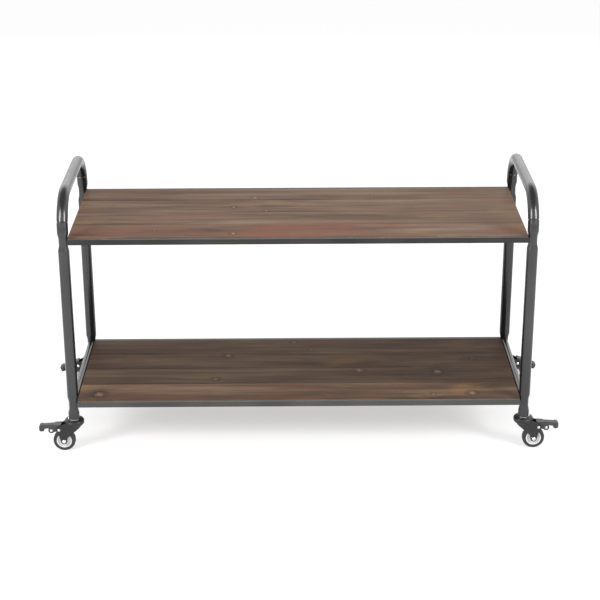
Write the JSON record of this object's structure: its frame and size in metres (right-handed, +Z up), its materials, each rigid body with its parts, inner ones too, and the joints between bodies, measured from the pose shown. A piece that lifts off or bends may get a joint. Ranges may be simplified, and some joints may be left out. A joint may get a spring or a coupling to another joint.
{
  "type": "bar cart on wheels",
  "caption": "Low two-tier bar cart: stained wood shelves on a grey steel tube frame with a push handle at each end, on small swivel casters with foot brakes.",
  "frame": {"origin": "on the floor, under the middle of the cart", "axes": "+X along the shelves towards the right-hand handle, +Y to the rear, +Z up"},
  "size_m": [1.193, 0.403, 0.6165],
  "materials": {
    "frame_steel": "gunmetal grey, satin",
    "insert_plastic": "matte black",
    "board_wood": "stained pine, satin, with knots",
    "bearer_steel": "gunmetal grey, satin",
    "screw_steel": "zinc plated",
    "caster_black": "black, satin",
    "bright_steel": "bright plated",
    "wheel_core": "off-white, semi-gloss",
    "wheel_tread": "dark grey, smooth"
  },
  "bodies": {
    "cart": {"board_screws": "screw_steel", "caster_fl_stem": "bright_steel", "caster_fr_stem": "bright_steel", "caster_rl_stem": "bright_steel", "caster_rr_stem": "bright_steel", "handle_left": "frame_steel", "handle_right": "frame_steel", "leg_front_left": "frame_steel", "leg_front_right": "frame_steel", "leg_insert_front_left": "insert_plastic", "leg_insert_front_right": "insert_plastic", "leg_insert_rear_left": "insert_plastic", "leg_insert_rear_right": "insert_plastic", "leg_rear_left": "frame_steel", "leg_rear_right": "frame_steel", "lower_bearer_centre": "bearer_steel", "lower_bearer_left": "bearer_steel", "lower_bearer_right": "bearer_steel", "lower_board_1": "board_wood", "lower_board_2": "board_wood", "lower_board_3": "board_wood", "lower_board_4": "board_wood", "lower_rail_front": "frame_steel", "lower_rail_rear": "frame_steel", "lower_side_tube_left": "frame_steel", "lower_side_tube_right": "frame_steel", "upper_bearer_centre": "bearer_steel", "upper_bearer_left": "bearer_steel", "upper_bearer_right": "bearer_steel", "upper_board_1": "board_wood", "upper_board_2": "board_wood", "upper_board_3": "board_wood", "upper_board_4": "board_wood", "upper_rail_front": "frame_steel", "upper_rail_rear": "frame_steel"},
    "caster_fl_swivel": {"caster_fl_fork": "caster_black", "caster_fl_axle": "bright_steel"},
    "caster_fl_wheel": {"caster_fl_hub": "wheel_core", "caster_fl_tyre": "wheel_tread"},
    "caster_fl_brake": {"caster_fl_pedal": "caster_black", "caster_fl_rivets": "bright_steel"},
    "caster_fr_swivel": {"caster_fr_fork": "caster_black", "caster_fr_axle": "bright_steel"},
    "caster_fr_wheel": {"caster_fr_hub": "wheel_core", "caster_fr_tyre": "wheel_tread"},
    "caster_fr_brake": {"caster_fr_pedal": "caster_black", "caster_fr_rivets": "bright_steel"},
    "caster_rl_swivel": {"caster_rl_fork": "caster_black", "caster_rl_axle": "bright_steel"},
    "caster_rl_wheel": {"caster_rl_hub": "wheel_core", "caster_rl_tyre": "wheel_tread"},
    "caster_rl_brake": {"caster_rl_pedal": "caster_black", "caster_rl_rivets": "bright_steel"},
    "caster_rr_swivel": {"caster_rr_fork": "caster_black", "caster_rr_axle": "bright_steel"},
    "caster_rr_wheel": {"caster_rr_hub": "wheel_core", "caster_rr_tyre": "wheel_tread"},
    "caster_rr_brake": {"caster_rr_pedal": "caster_black", "caster_rr_rivets": "bright_steel"}
  },
  "joints": [
    {"name": "caster_fl_swivel", "type": "hinge", "parent": "cart", "child": "caster_fl_swivel", "pos_m": [-0.515, -0.179, 0.07], "axis": [0, 0, 1], "continuous": true},
    {"name": "caster_fl_spin", "type": "hinge", "parent": "caster_fl_swivel", "child": "caster_fl_wheel", "pos_m": [-0.54, -0.179, 0.0254], "axis": [0, 1, 0], "continuous": true},
    {"name": "caster_fl_brake", "type": "hinge", "parent": "caster_fl_swivel", "child": "caster_fl_brake", "pos_m": [-0.55, -0.179, 0.0545], "axis": [0, -1, 0], "range_deg": [0, 16]},
    {"name": "caster_fr_swivel", "type": "hinge", "parent": "cart", "child": "caster_fr_swivel", "pos_m": [0.515, -0.179, 0.07], "axis": [0, 0, 1], "continuous": true},
    {"name": "caster_fr_spin", "type": "hinge", "parent": "caster_fr_swivel", "child": "caster_fr_wheel", "pos_m": [0.54, -0.179, 0.0254], "axis": [0, 1, 0], "continuous": true},
    {"name": "caster_fr_brake", "type": "hinge", "parent": "caster_fr_swivel", "child": "caster_fr_brake", "pos_m": [0.55, -0.179, 0.0545], "axis": [0, 1, 0], "range_deg": [0, 16]},
    {"name": "caster_rl_swivel", "type": "hinge", "parent": "cart", "child": "caster_rl_swivel", "pos_m": [-0.515, 0.179, 0.07], "axis": [0, 0, 1], "continuous": true},
    {"name": "caster_rl_spin", "type": "hinge", "parent": "caster_rl_swivel", "child": "caster_rl_wheel", "pos_m": [-0.54, 0.179, 0.0254], "axis": [0, 1, 0], "continuous": true},
    {"name": "caster_rl_brake", "type": "hinge", "parent": "caster_rl_swivel", "child": "caster_rl_brake", "pos_m": [-0.55, 0.179, 0.0545], "axis": [0, -1, 0], "range_deg": [-16, 0]},
    {"name": "caster_rr_swivel", "type": "hinge", "parent": "cart", "child": "caster_rr_swivel", "pos_m": [0.515, 0.179, 0.07], "axis": [0, 0, 1], "continuous": true},
    {"name": "caster_rr_spin", "type": "hinge", "parent": "caster_rr_swivel", "child": "caster_rr_wheel", "pos_m": [0.54, 0.179, 0.0254], "axis": [0, 1, 0], "continuous": true},
    {"name": "caster_rr_brake", "type": "hinge", "parent": "caster_rr_swivel", "child": "caster_rr_brake", "pos_m": [0.55, 0.179, 0.0545], "axis": [0, 1, 0], "range_deg": [-16, 0]}
  ]
}
